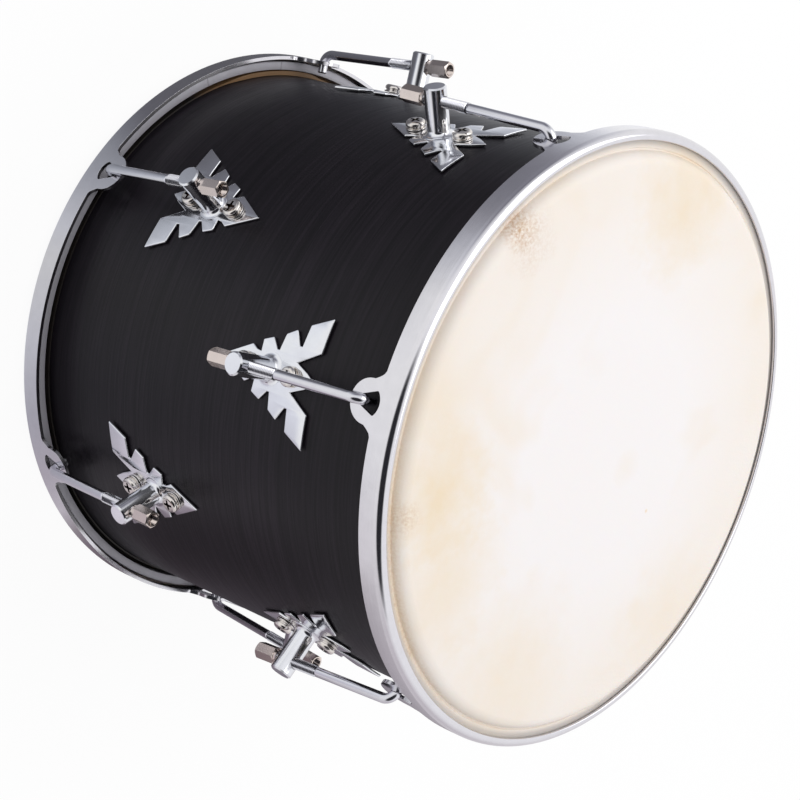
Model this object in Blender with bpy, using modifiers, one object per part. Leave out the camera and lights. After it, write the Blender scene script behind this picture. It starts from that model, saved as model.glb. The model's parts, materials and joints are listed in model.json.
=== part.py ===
"""A repinique: a two-headed metal-rimmed drum with a stained wooden shell.

The drum stands on its lower head with its axis on +Z. Every length is in metres.
Both heads and all the lugs are the same pieces, so each is modelled once at the upper
head and placed again, turned over, at the lower one. In that head frame z = 0 is the
outer face of the hoop, and z runs negative towards the middle of the drum.
"""

import math

import bmesh
import bpy
from mathutils import Matrix, Vector

# Clearances
GAP = 0.0003
LIP_SEAT_GAP = 0.0005
NOSE_GAP = 0.0003
HOOK_CLEARANCE = 0.0005

# Wooden shell
SHELL_OUTER_R = 0.1524
SHELL_WALL = 0.0070
SHELL_LENGTH = 0.2755
BEARING_ROUND = 0.0058
BEARING_CHAMFER = 0.0008

# Skin
SKIN_THICKNESS = 0.0009
SKIN_PROUD = 0.0030
SKIN_SLOPE_RUN = 0.0042
SKIN_SHOULDER_END = math.radians(35)
HEM_WIDTH = 0.0017
HEM_HEIGHT = 0.0012
HEM_BELOW_FLESH_HOOP = 0.0016

# Flesh hoop, the steel ring that carries the skin
FLESH_HOOP_SPACE = 0.0020
FLESH_HOOP_WIDTH = 0.0048
FLESH_HOOP_HEIGHT = 0.0065

# Counter hoop, the rim that pulls the flesh hoop down
HOOP_SPACE = 0.0016
HOOP_THICKNESS = 0.0020
HOOP_ROLL_R = 0.0040
HOOP_FLANGE_WIDTH = 0.0053
HOOP_BAND_HEIGHT = 0.0136

# Ears of the counter hoop, which the hook rods pull on
HOOP_TURN = math.radians(-0.9)
EAR_REACH = 0.0166
EAR_TIP_R = 0.0110
EAR_FOOT_HALF_WIDTH = 0.0148
EAR_HOLE_LENGTH = 0.0127
EAR_HOLE_END_HALF_WIDTH = 0.0058
EAR_HOLE_END_R = 0.0080
EAR_HOLE_CORNER_R = 0.0012
EAR_HOLE_TIP_WALL = 0.0054

# Lugs
LUGS_PER_HEAD = 6
LOWER_LUG_TURN = math.radians(33.5)
LUG_SETBACK = 0.0943
PLATE_THICKNESS = 0.0015
PLATE_APEX_REACH = 0.0338
PLATE_WING_REACH = 0.0308
PLATE_WING_HALF_SPAN = 0.0328
PLATE_DROP = 0.0029
PLATE_FOLD = 0.35
POST_R = 0.0060
POST_HEIGHT = 0.0254
POST_FOOT_FLARE = 0.0022
ROD_HOLE_HEIGHT = 0.0177

# Hook rod
ROD_R = 0.00265
THREAD_R = 0.0030
THREAD_LENGTH = 0.0390
ROD_BEND_R = 0.0060
HOOK_OVER_HOOP = 0.0015
HOOK_INSIDE_HOOP = 0.0050
ROD_PAST_POST = 0.0105

# Tuning nut
NUT_ACROSS_FLATS = 0.0083
NUT_LENGTH = 0.0130
NUT_CHAMFER = 0.0008
NUT_NOSE_R = 0.0038
NUT_NOSE_LENGTH = 0.0016

# Screws that hold a lug, and the strip inside the shell that they thread into
SCREW_SPACING = 0.0322
SCREW_R = 0.0025
SCREW_HEAD_R = 0.0048
SCREW_HEAD_HEIGHT = 0.0034
SPRING_WASHER_R = 0.0044
SPRING_WASHER_HEIGHT = 0.0013
FLAT_WASHER_R = 0.0060
FLAT_WASHER_HEIGHT = 0.0010
SCREW_END_PAST_STRIP = 0.0015
STRIP_WIDTH = 0.0120
STRIP_END_MARGIN = 0.0070
STRIP_THICKNESS = 0.0020

# Facets
RING_STEPS = 48
ROUND_STEPS = 3
POST_SIDES = 12
SMALL_SIDES = 8
SMOOTH_ANGLE = math.radians(35)
MERGE = 0.00001
CUT_PAST = 0.0040

# Radii, from the shell outwards
SKIRT_INNER_R = SHELL_OUTER_R + GAP
SKIRT_OUTER_R = SKIRT_INNER_R + SKIN_THICKNESS
FLESH_HOOP_INNER_R = SKIRT_OUTER_R + FLESH_HOOP_SPACE
FLESH_HOOP_OUTER_R = FLESH_HOOP_INNER_R + FLESH_HOOP_WIDTH
HOOP_INNER_R = FLESH_HOOP_OUTER_R + HOOP_SPACE
HOOP_OUTER_R = HOOP_INNER_R + HOOP_THICKNESS
FLANGE_INNER_R = HOOP_OUTER_R - HOOP_FLANGE_WIDTH

# Heights
HEIGHT = SHELL_LENGTH + 2 * (GAP + SKIN_THICKNESS)
UPPER_FACE_Z = HEIGHT - SKIN_PROUD
LOWER_FACE_Z = SKIN_PROUD
SHELL_END_Z = SKIN_PROUD - SKIN_THICKNESS - GAP
LIP_TOP_Z = -HOOP_THICKNESS - LIP_SEAT_GAP
LIP_UNDER_Z = LIP_TOP_Z - SKIN_THICKNESS
FLESH_HOOP_TOP_Z = LIP_UNDER_Z - GAP
FLESH_HOOP_UNDER_Z = FLESH_HOOP_TOP_Z - FLESH_HOOP_HEIGHT
HEM_UNDER_Z = FLESH_HOOP_UNDER_Z - HEM_BELOW_FLESH_HOOP

# The ears and the hook that sits in them
EAR_TIP_Z = -HOOP_BAND_HEIGHT - EAR_REACH
EAR_HOLE_TIP_Z = EAR_TIP_Z + EAR_HOLE_TIP_WALL
EAR_HOLE_TIP_R = ROD_R + HOOK_CLEARANCE
HOOK_Z = EAR_HOLE_TIP_Z + EAR_HOLE_TIP_R
HOOK_RADIUS = HOOP_OUTER_R + HOOK_OVER_HOOP + ROD_R

# The lug's plate, whose under side clears the shell at its middle line
PLATE_UNDER_X = SHELL_OUTER_R + GAP
PLATE_TOP_X = PLATE_UNDER_X + PLATE_THICKNESS
POST_TOP_X = PLATE_TOP_X + POST_HEIGHT
ROD_HOLE_X = PLATE_TOP_X + ROD_HOLE_HEIGHT

# The rod's own line, from its hook to the post
EAR_OUTWARD = Vector((math.cos(HOOP_TURN), math.sin(HOOP_TURN), 0.0))
HOOK_TOP = EAR_OUTWARD * HOOK_RADIUS + Vector((0.0, 0.0, HOOK_Z))
POST_MIDDLE = Vector((ROD_HOLE_X, 0.0, -LUG_SETBACK))
ROD_ALONG = (HOOK_TOP - POST_MIDDLE).normalized()
ROD_REACH = (HOOK_TOP - POST_MIDDLE - EAR_OUTWARD * (HOOK_RADIUS - HOOP_INNER_R)).dot(ROD_ALONG)
NUT_START = POST_R + NOSE_GAP
NUT_END = NUT_START + NUT_NOSE_LENGTH + NUT_LENGTH

parts = None
cutters = None


def clear_scene():
    """Remove what the scene holds."""
    for old in list(bpy.data.objects):
        bpy.data.objects.remove(old, do_unlink=True)


def collection(name):
    """A new collection in the scene."""
    made = bpy.data.collections.new(name)
    bpy.context.scene.collection.children.link(made)
    return made


def finish(name, colour, roughness, metallic):
    """A plain material of one finish."""
    material = bpy.data.materials.new(name)
    material.use_nodes = True
    shader = material.node_tree.nodes["Principled BSDF"]
    shader.inputs["Base Color"].default_value = (*colour, 1.0)
    shader.inputs["Roughness"].default_value = roughness
    shader.inputs["Metallic"].default_value = metallic
    material.diffuse_color = (*colour, 1.0)
    return material


def add_object(name, data, home):
    """A new object of this data in a collection."""
    made = bpy.data.objects.new(name, data)
    home.objects.link(made)
    return made


def as_cutter(helper):
    """Keep a helper out of the model and show it as wire."""
    helper.hide_render = True
    helper.display_type = "WIRE"
    return helper


def arc(centre_x, centre_z, radius, start, end, steps):
    """Points of an arc in the X-Z plane, both ends included."""
    points = []
    for step in range(steps + 1):
        angle = start + (end - start) * step / steps
        points.append((centre_x + radius * math.cos(angle), centre_z + radius * math.sin(angle)))
    return points


def turned(name, profile, steps, home, closed=True):
    """A profile of (radius, height) points turned about Z."""
    mesh = bpy.data.meshes.new(name)
    shape = bmesh.new()
    corners = [shape.verts.new((radius, 0.0, height)) for radius, height in profile]
    for first, second in zip(corners, corners[1:]):
        shape.edges.new((first, second))
    if closed:
        shape.edges.new((corners[-1], corners[0]))
    shape.to_mesh(mesh)
    shape.free()
    made = add_object(name, mesh, home)
    screw = made.modifiers.new("Turn", "SCREW")
    screw.steps = steps
    screw.render_steps = steps
    screw.use_merge_vertices = True
    screw.merge_threshold = MERGE
    return made


def outline_plate(name, outline, thickness, home):
    """A flat outline of (x, y) points, given a thickness about z = 0."""
    curve = bpy.data.curves.new(name, "CURVE")
    curve.dimensions = "2D"
    curve.fill_mode = "BOTH"
    curve.extrude = thickness / 2
    spline = curve.splines.new("POLY")
    spline.points.add(len(outline) - 1)
    for point, (x, y) in zip(spline.points, outline):
        point.co = (x, y, 0.0, 1.0)
    spline.use_cyclic_u = True
    return meshed(add_object(name, curve, home), home)


def meshed(source, home):
    """The evaluated shape of an object as a new mesh object; the source is removed."""
    bpy.context.view_layer.update()
    graph = bpy.context.evaluated_depsgraph_get()
    mesh = bpy.data.meshes.new_from_object(source.evaluated_get(graph))
    shape = bmesh.new()
    shape.from_mesh(mesh)
    bmesh.ops.remove_doubles(shape, verts=shape.verts, dist=MERGE / 10)
    shape.to_mesh(mesh)
    shape.free()
    name = source.name
    place = source.matrix_world.copy()
    bpy.data.objects.remove(source, do_unlink=True)
    mesh.name = name
    made = add_object(name, mesh, home)
    made.matrix_world = place
    return made


def boolean(target, tool, operation):
    """Join a helper to a shape, or cut it away."""
    modifier = target.modifiers.new(operation.title(), "BOOLEAN")
    modifier.operation = operation
    modifier.solver = "EXACT"
    modifier.object = tool


def move_mesh(made, matrix):
    """Carry out a placement on the mesh itself."""
    made.data.transform(matrix)
    made.data.update()


def round_shading(mesh):
    """Shade smoothly up to the angle that counts as an edge."""
    mesh.shade_smooth()
    mesh.set_sharp_from_angle(angle=SMOOTH_ANGLE)


def joined_copies(name, source, turns, home):
    """One mesh object that holds a copy of the source at each matrix."""
    mesh = bpy.data.meshes.new(name)
    shape = bmesh.new()
    for turn in turns:
        copy = source.data.copy()
        copy.transform(turn)
        shape.from_mesh(copy)
        bpy.data.meshes.remove(copy)
    shape.to_mesh(mesh)
    shape.free()
    return add_object(name, mesh, home)


def lug_turns():
    """A turn about the drum's axis for each lug of a head."""
    return [Matrix.Rotation(math.tau * lug / LUGS_PER_HEAD, 4, "Z") for lug in range(LUGS_PER_HEAD)]


def template(source):
    """The finished mesh of a modelled piece, for objects that share it."""
    done = meshed(source, parts)
    mesh = done.data
    bpy.data.objects.remove(done, do_unlink=True)
    round_shading(mesh)
    return mesh


def shell_profile():
    """The wall in section, round on the outside of each bearing edge."""
    inner = SHELL_OUTER_R - SHELL_WALL
    centre_x = SHELL_OUTER_R - BEARING_ROUND
    low = HEIGHT / 2 - SHELL_LENGTH / 2
    high = HEIGHT / 2 + SHELL_LENGTH / 2
    section = [(inner + BEARING_CHAMFER, high)]
    section += arc(centre_x, high - BEARING_ROUND, BEARING_ROUND, math.pi / 2, 0.0, ROUND_STEPS)
    section += arc(centre_x, low + BEARING_ROUND, BEARING_ROUND, 0.0, -math.pi / 2, ROUND_STEPS)
    section += [(inner + BEARING_CHAMFER, low), (inner, low + BEARING_CHAMFER)]
    section += [(inner, high - BEARING_CHAMFER)]
    return section


def screw_depths():
    """Heights of a lug's two screws in the head frame."""
    return [-LUG_SETBACK + SCREW_SPACING / 2, -LUG_SETBACK - SCREW_SPACING / 2]


def radial_rod(name, radius, start, end, height, sides, home):
    """A cylinder that points outwards along +X at a height."""
    shape = bmesh.new()
    bmesh.ops.create_cone(
        shape, cap_ends=True, segments=sides, radius1=radius, radius2=radius, depth=end - start
    )
    mesh = bpy.data.meshes.new(name)
    shape.to_mesh(mesh)
    shape.free()
    made = add_object(name, mesh, home)
    middle = Vector(((start + end) / 2, 0.0, height))
    move_mesh(made, Matrix.Translation(middle) @ Matrix.Rotation(math.pi / 2, 4, "Y"))
    return made


def screw_holes(name, radius, start, end, home):
    """The pair of radial holes that one lug's screws pass through."""
    pair = [
        radial_rod(f"{name}_{index}", radius, start, end, height, SMALL_SIDES, home)
        for index, height in enumerate(screw_depths())
    ]
    both = joined_copies(name, pair[0], [Matrix.Identity(4)], home)
    shape = bmesh.new()
    shape.from_mesh(both.data)
    shape.from_mesh(pair[1].data)
    shape.to_mesh(both.data)
    shape.free()
    for single in pair:
        bpy.data.objects.remove(single, do_unlink=True)
    return as_cutter(both)


def make_shell(material, frames):
    """The wooden shell with the holes for the lugs' screws."""
    shell = turned("shell", shell_profile(), RING_STEPS, parts)
    start = SHELL_OUTER_R - SHELL_WALL - CUT_PAST
    pair = screw_holes("screw_hole_pair", SCREW_R + GAP, start, SHELL_OUTER_R + CUT_PAST, cutters)
    places = [frame @ turn for frame in frames for turn in lug_turns()]
    holes = as_cutter(joined_copies("screw_holes", pair, places, cutters))
    bpy.data.objects.remove(pair, do_unlink=True)
    boolean(shell, holes, "DIFFERENCE")
    round_shading(shell.data)
    shell.data.materials.append(material)


def skin_profile():
    """The skin in section: playing face, shoulder, lip on the flesh hoop, skirt and hem."""
    outer_round = BEARING_ROUND + GAP + SKIN_THICKNESS
    inner_round = BEARING_ROUND + GAP
    shoulder_x = SKIRT_OUTER_R - outer_round
    shoulder_z = SKIN_PROUD - outer_round
    outer = arc(shoulder_x, shoulder_z, outer_round, math.pi / 2, SKIN_SHOULDER_END, ROUND_STEPS)
    slope_end_x = outer[-1][0] + SKIN_SLOPE_RUN
    lip_root_x = FLESH_HOOP_INNER_R - GAP
    section = [(0.0, SKIN_PROUD)] + outer
    section += [(slope_end_x, LIP_TOP_Z), (FLESH_HOOP_OUTER_R, LIP_TOP_Z)]
    section += [(FLESH_HOOP_OUTER_R, LIP_UNDER_Z), (lip_root_x, LIP_UNDER_Z)]
    section += [(SKIRT_OUTER_R, LIP_UNDER_Z - SKIN_THICKNESS)]
    section += [(SKIRT_OUTER_R, HEM_UNDER_Z + HEM_HEIGHT)]
    section += [(SKIRT_OUTER_R + HEM_WIDTH, HEM_UNDER_Z + HEM_HEIGHT)]
    section += [(SKIRT_OUTER_R + HEM_WIDTH, HEM_UNDER_Z), (SKIRT_INNER_R, HEM_UNDER_Z)]
    section += arc(shoulder_x, shoulder_z, inner_round, 0.0, math.pi / 2, ROUND_STEPS)
    section += [(0.0, SKIN_PROUD - SKIN_THICKNESS)]
    return section


def flesh_hoop_profile():
    """The ring's square section."""
    return [
        (FLESH_HOOP_INNER_R, FLESH_HOOP_TOP_Z),
        (FLESH_HOOP_OUTER_R, FLESH_HOOP_TOP_Z),
        (FLESH_HOOP_OUTER_R, FLESH_HOOP_UNDER_Z),
        (FLESH_HOOP_INNER_R, FLESH_HOOP_UNDER_Z),
    ]


def hoop_profile():
    """The rim in section: flange, rolled edge and band, long enough to leave the ears."""
    roll_x = HOOP_OUTER_R - HOOP_ROLL_R
    inner_roll = HOOP_ROLL_R - HOOP_THICKNESS
    section = [(FLANGE_INNER_R, 0.0)]
    section += arc(roll_x, -HOOP_ROLL_R, HOOP_ROLL_R, math.pi / 2, 0.0, ROUND_STEPS)
    section += [(HOOP_OUTER_R, EAR_TIP_Z), (HOOP_INNER_R, EAR_TIP_Z)]
    section += arc(roll_x, -HOOP_ROLL_R, inner_roll, 0.0, math.pi / 2, ROUND_STEPS - 1)
    section += [(FLANGE_INNER_R, -HOOP_THICKNESS)]
    return section


def ear_outline():
    """An ear in (height, side) points, from one foot round the tip to the other."""
    tip_z = EAR_TIP_Z + EAR_TIP_R
    foot_z = -HOOP_BAND_HEIGHT
    half = [(foot_z + CUT_PAST, EAR_FOOT_HALF_WIDTH + CUT_PAST / 2), (foot_z, EAR_FOOT_HALF_WIDTH)]
    flare = (EAR_FOOT_HALF_WIDTH - EAR_TIP_R) / 2
    half += [(foot_z + (tip_z - foot_z) * 0.4, EAR_TIP_R + flare)]
    tip = arc(tip_z, 0.0, EAR_TIP_R, math.pi / 2, math.pi * 3 / 2, 4 * ROUND_STEPS)
    tip[len(tip) // 2] = (EAR_TIP_Z - CUT_PAST, 0.0)
    other = [(z, -side) for z, side in reversed(half)]
    return half + tip + other


def ear_hole_outline():
    """The hole that the hook sits in: round at the ear's tip, wide and arched at its foot."""
    end_centre_z = EAR_HOLE_TIP_Z + EAR_HOLE_LENGTH - EAR_HOLE_END_R
    corner_y = EAR_HOLE_END_HALF_WIDTH - EAR_HOLE_CORNER_R
    corner_rise = math.sqrt((EAR_HOLE_END_R - EAR_HOLE_CORNER_R) ** 2 - corner_y**2)
    corner_z = end_centre_z + corner_rise
    end_angle = math.atan2(corner_y, corner_rise)
    apart = math.hypot(corner_z - HOOK_Z, corner_y)
    side_angle = math.atan2(corner_y, corner_z - HOOK_Z)
    side_angle += math.acos((EAR_HOLE_TIP_R - EAR_HOLE_CORNER_R) / apart)
    other_side = math.tau - side_angle
    points = arc(HOOK_Z, 0.0, EAR_HOLE_TIP_R, side_angle, other_side, 2 * ROUND_STEPS)
    points += arc(corner_z, -corner_y, EAR_HOLE_CORNER_R, other_side, math.tau - end_angle, ROUND_STEPS)
    points += arc(end_centre_z, 0.0, EAR_HOLE_END_R, -end_angle, end_angle, 2 * ROUND_STEPS)[1:-1]
    points += arc(corner_z, corner_y, EAR_HOLE_CORNER_R, end_angle, side_angle, ROUND_STEPS)
    return points


def radial_prism(name, outline, start, end, home):
    """An outline of (height, side) points carried outwards along +X."""
    prism = outline_plate(name, outline, end - start, home)
    axes = Matrix(((0, 0, 1, (start + end) / 2), (0, 1, 0, 0), (1, 0, 0, 0), (0, 0, 0, 1)))
    move_mesh(prism, axes)
    outward(prism.data)
    return prism


def outward(mesh):
    """Turn every face outwards."""
    shape = bmesh.new()
    shape.from_mesh(mesh)
    bmesh.ops.recalc_face_normals(shape, faces=shape.faces)
    shape.to_mesh(mesh)
    shape.free()


def hoop_mesh():
    """The counter hoop with its ears and their holes."""
    hoop = turned("hoop", hoop_profile(), RING_STEPS, parts)
    inside = HOOP_INNER_R - CUT_PAST
    outside = HOOP_OUTER_R + CUT_PAST
    ear = radial_prism("ear", ear_outline(), inside - CUT_PAST, outside + CUT_PAST, cutters)
    ears = as_cutter(joined_copies("ears", ear, lug_turns(), cutters))
    hole = radial_prism("ear_hole", ear_hole_outline(), inside, outside, cutters)
    holes = as_cutter(joined_copies("ear_holes", hole, lug_turns(), cutters))
    band_end = -HOOP_BAND_HEIGHT
    low = EAR_TIP_Z - CUT_PAST / 2
    ring = [(inside, band_end), (outside, band_end), (outside, low), (inside, low)]
    waste = as_cutter(turned("between_ears", ring, RING_STEPS, cutters))
    boolean(waste, ears, "DIFFERENCE")
    boolean(hoop, waste, "DIFFERENCE")
    boolean(hoop, holes, "DIFFERENCE")
    mesh = template(hoop)
    for helper in (ear, hole):
        bpy.data.objects.remove(helper, do_unlink=True)
    return mesh


def plate_outline():
    """The lug plate as (height, side) points about the post, with feathered wings."""
    apex = -PLATE_APEX_REACH
    wing = PLATE_WING_REACH
    span = PLATE_WING_HALF_SPAN
    feathers = [
        (apex * 0.45, span * 0.294),
        (apex * 0.345, span * 0.235),
        (apex * 0.255, span * 0.223),
        (apex * 0.27, span * 0.405),
        (apex * 0.09, span * 0.483),
        (wing * 0.045, span * 0.325),
        (wing * 0.10, span * 0.325),
        (wing * 0.145, span * 0.585),
        (wing * 0.34, span * 0.690),
        (wing * 0.49, span * 0.475),
        (wing * 0.55, span * 0.475),
        (wing * 0.585, span * 0.815),
        (wing, span),
        (wing * 0.99, span * 0.465),
        (wing * 0.55, span * 0.225),
        (wing * 0.82, span * 0.120),
    ]
    other = [(z, -side) for z, side in reversed(feathers)]
    return [(apex, 0.0)] + feathers + [(wing * 1.03, 0.0)] + other


def bent_plate():
    """The lug plate, bent to an arc flatter than the shell."""
    plate = radial_prism("plate", plate_outline(), PLATE_UNDER_X, PLATE_TOP_X, parts)
    move_mesh(plate, Matrix.Translation((0.0, 0.0, -LUG_SETBACK)))
    shape = bmesh.new()
    shape.from_mesh(plate.data)
    for share in (-PLATE_FOLD, PLATE_FOLD):
        every = shape.verts[:] + shape.edges[:] + shape.faces[:]
        side = Vector((0.0, share * PLATE_WING_HALF_SPAN, 0.0))
        bmesh.ops.bisect_plane(shape, geom=every, plane_co=side, plane_no=(0.0, 1.0, 0.0))
    bmesh.ops.triangulate(shape, faces=shape.faces)
    for corner in shape.verts:
        corner.co.x -= PLATE_DROP * (corner.co.y / PLATE_WING_HALF_SPAN) ** 2
    shape.to_mesh(plate.data)
    shape.free()
    return plate


def bracket_mesh():
    """A lug: the notched plate and its post, with the holes for the rod and screws."""
    bracket = bent_plate()
    flare_r = POST_R + POST_FOOT_FLARE
    root = PLATE_UNDER_X + PLATE_THICKNESS / 3
    profile = [(0.0, POST_TOP_X), (POST_R - GAP, POST_TOP_X), (POST_R, POST_TOP_X - GAP)]
    profile += [(POST_R, PLATE_TOP_X + POST_FOOT_FLARE), (flare_r, PLATE_TOP_X - GAP)]
    profile += [(flare_r, root), (0.0, root)]
    post = as_cutter(turned("post", profile, POST_SIDES, cutters))
    post = meshed(post, cutters)
    move_mesh(post, Matrix.Rotation(math.pi / 2, 4, "Y"))
    move_mesh(post, Matrix.Translation((0.0, 0.0, -LUG_SETBACK)))
    as_cutter(post)
    boolean(bracket, post, "UNION")
    start = PLATE_UNDER_X - CUT_PAST
    end = PLATE_TOP_X + CUT_PAST / 4
    holes = screw_holes("plate_holes", SCREW_R + GAP, start, end, cutters)
    boolean(bracket, holes, "DIFFERENCE")
    rod_hole = along_rod("rod_hole", THREAD_R + GAP, -2 * POST_R, 2 * POST_R)
    boolean(bracket, as_cutter(rod_hole), "DIFFERENCE")
    return template(bracket)


def rod_line():
    """The frame of a rod: its origin in the post, z along the rod towards the hoop."""
    side = ROD_ALONG.cross(EAR_OUTWARD).normalized()
    turn = Matrix((side.cross(ROD_ALONG), side, ROD_ALONG)).transposed()
    return Matrix.Translation(POST_MIDDLE) @ turn.to_4x4()


def along_rod(name, radius, start, end):
    """A cylinder on the rod's line, between two distances from the post's middle."""
    shape = bmesh.new()
    bmesh.ops.create_cone(
        shape, cap_ends=True, segments=SMALL_SIDES, radius1=radius, radius2=radius, depth=end - start
    )
    mesh = bpy.data.meshes.new(name)
    shape.to_mesh(mesh)
    shape.free()
    made = add_object(name, mesh, cutters)
    move_mesh(made, rod_line() @ Matrix.Translation((0.0, 0.0, (start + end) / 2)))
    return made


def hook_rod_mesh():
    """The rod in its own frame: thread, shank and the hook that turns in to the drum."""
    drop = HOOK_RADIUS - HOOP_INNER_R + HOOK_INSIDE_HOOP
    bend = arc(-ROD_BEND_R, ROD_REACH - ROD_BEND_R, ROD_BEND_R, 0.0, math.pi / 2, ROUND_STEPS)
    route = [(0.0, POST_R)] + bend + [(-drop, ROD_REACH)]
    curve = bpy.data.curves.new("hook_rod", "CURVE")
    curve.dimensions = "3D"
    curve.bevel_depth = ROD_R
    curve.bevel_resolution = 2
    curve.use_fill_caps = True
    spline = curve.splines.new("POLY")
    spline.points.add(len(route) - 1)
    for point, (x, z) in zip(spline.points, route):
        point.co = (x, 0.0, z, 1.0)
    rod = meshed(add_object("hook_rod", curve, parts), parts)
    outward(rod.data)
    end = -POST_R - ROD_PAST_POST
    shape = bmesh.new()
    bmesh.ops.create_cone(
        shape,
        cap_ends=True,
        segments=SMALL_SIDES,
        radius1=THREAD_R,
        radius2=THREAD_R,
        depth=THREAD_LENGTH,
    )
    mesh = bpy.data.meshes.new("rod_thread")
    shape.to_mesh(mesh)
    shape.free()
    thread = as_cutter(add_object("rod_thread", mesh, cutters))
    move_mesh(thread, Matrix.Translation((0.0, 0.0, end + THREAD_LENGTH / 2)))
    boolean(rod, thread, "UNION")
    return template(rod)


def nut_mesh():
    """The long tuning nut in the rod's frame, with its round nose at the post."""
    corner_r = NUT_ACROSS_FLATS / math.sqrt(3)
    shape = bmesh.new()
    bmesh.ops.create_cone(
        shape, cap_ends=True, segments=6, radius1=corner_r, radius2=corner_r, depth=NUT_LENGTH
    )
    rims = [edge for edge in shape.edges if abs(edge.verts[0].co.z - edge.verts[1].co.z) < MERGE]
    bmesh.ops.bevel(
        shape, geom=rims, offset=NUT_CHAMFER, segments=1, profile=0.5, affect="EDGES", material=-1
    )
    mesh = bpy.data.meshes.new("nut")
    shape.to_mesh(mesh)
    shape.free()
    nut = add_object("nut", mesh, parts)
    hex_start = NUT_START + NUT_NOSE_LENGTH
    move_mesh(nut, Matrix.Translation((0.0, 0.0, -hex_start - NUT_LENGTH / 2)))
    nose = [(0.0, -NUT_START), (NUT_NOSE_R, -NUT_START)]
    nose += [(NUT_NOSE_R, -hex_start - NUT_CHAMFER), (0.0, -hex_start - NUT_CHAMFER)]
    boolean(nut, as_cutter(turned("nut_nose", nose, SMALL_SIDES, cutters)), "UNION")
    bore_r = THREAD_R + GAP
    bore = [(0.0, 0.0), (bore_r, 0.0), (bore_r, -NUT_END - CUT_PAST), (0.0, -NUT_END - CUT_PAST)]
    boolean(nut, as_cutter(turned("nut_bore", bore, SMALL_SIDES, cutters)), "DIFFERENCE")
    return template(nut)


def screw_pair_mesh():
    """A lug's two screws with their washers, and the strip that they thread into."""
    washer_x = PLATE_TOP_X + GAP
    head_x = washer_x + FLAT_WASHER_HEIGHT + SPRING_WASHER_HEIGHT
    inner_r = SHELL_OUTER_R - SHELL_WALL
    strip_x = math.sqrt(inner_r**2 - (STRIP_WIDTH / 2) ** 2) - GAP
    strip_in_x = strip_x - STRIP_THICKNESS
    top_x = head_x + SCREW_HEAD_HEIGHT
    profile = [(0.0, top_x), (SCREW_HEAD_R * 0.6, top_x)]
    profile += [(SCREW_HEAD_R, head_x + SCREW_HEAD_HEIGHT * 0.45), (SCREW_HEAD_R, head_x)]
    profile += [(SPRING_WASHER_R, head_x), (SPRING_WASHER_R, washer_x + FLAT_WASHER_HEIGHT)]
    profile += [(FLAT_WASHER_R, washer_x + FLAT_WASHER_HEIGHT), (FLAT_WASHER_R, washer_x)]
    profile += [(SCREW_R, washer_x), (SCREW_R, strip_in_x - SCREW_END_PAST_STRIP)]
    profile += [(0.0, strip_in_x - SCREW_END_PAST_STRIP)]
    single = meshed(turned("screw", profile, SMALL_SIDES, cutters), cutters)
    move_mesh(single, Matrix.Rotation(math.pi / 2, 4, "Y"))
    places = [Matrix.Translation((0.0, 0.0, height)) for height in screw_depths()]
    screws = as_cutter(joined_copies("screws", single, places, cutters))
    bpy.data.objects.remove(single, do_unlink=True)
    shape = bmesh.new()
    bmesh.ops.create_cube(shape, size=1.0)
    mesh = bpy.data.meshes.new("backing_strip")
    shape.to_mesh(mesh)
    shape.free()
    strip = add_object("backing_strip", mesh, parts)
    length = SCREW_SPACING + 2 * STRIP_END_MARGIN
    size = Matrix.Diagonal((STRIP_THICKNESS, STRIP_WIDTH, length, 1.0))
    middle = Matrix.Translation(((strip_x + strip_in_x) / 2, 0.0, -LUG_SETBACK))
    move_mesh(strip, middle @ size)
    boolean(strip, screws, "UNION")
    return template(strip)


def head_frame(name, place):
    """An empty that carries one head's pieces."""
    frame = bpy.data.objects.new(name, None)
    parts.objects.link(frame)
    frame.matrix_world = place
    return frame


def put(name, mesh, material, parent, place):
    """An object of a shared mesh, placed in its parent's frame."""
    if not mesh.materials:
        mesh.materials.append(material)
    made = add_object(name, mesh, parts)
    made.parent = parent
    made.matrix_local = place
    return made


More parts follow.
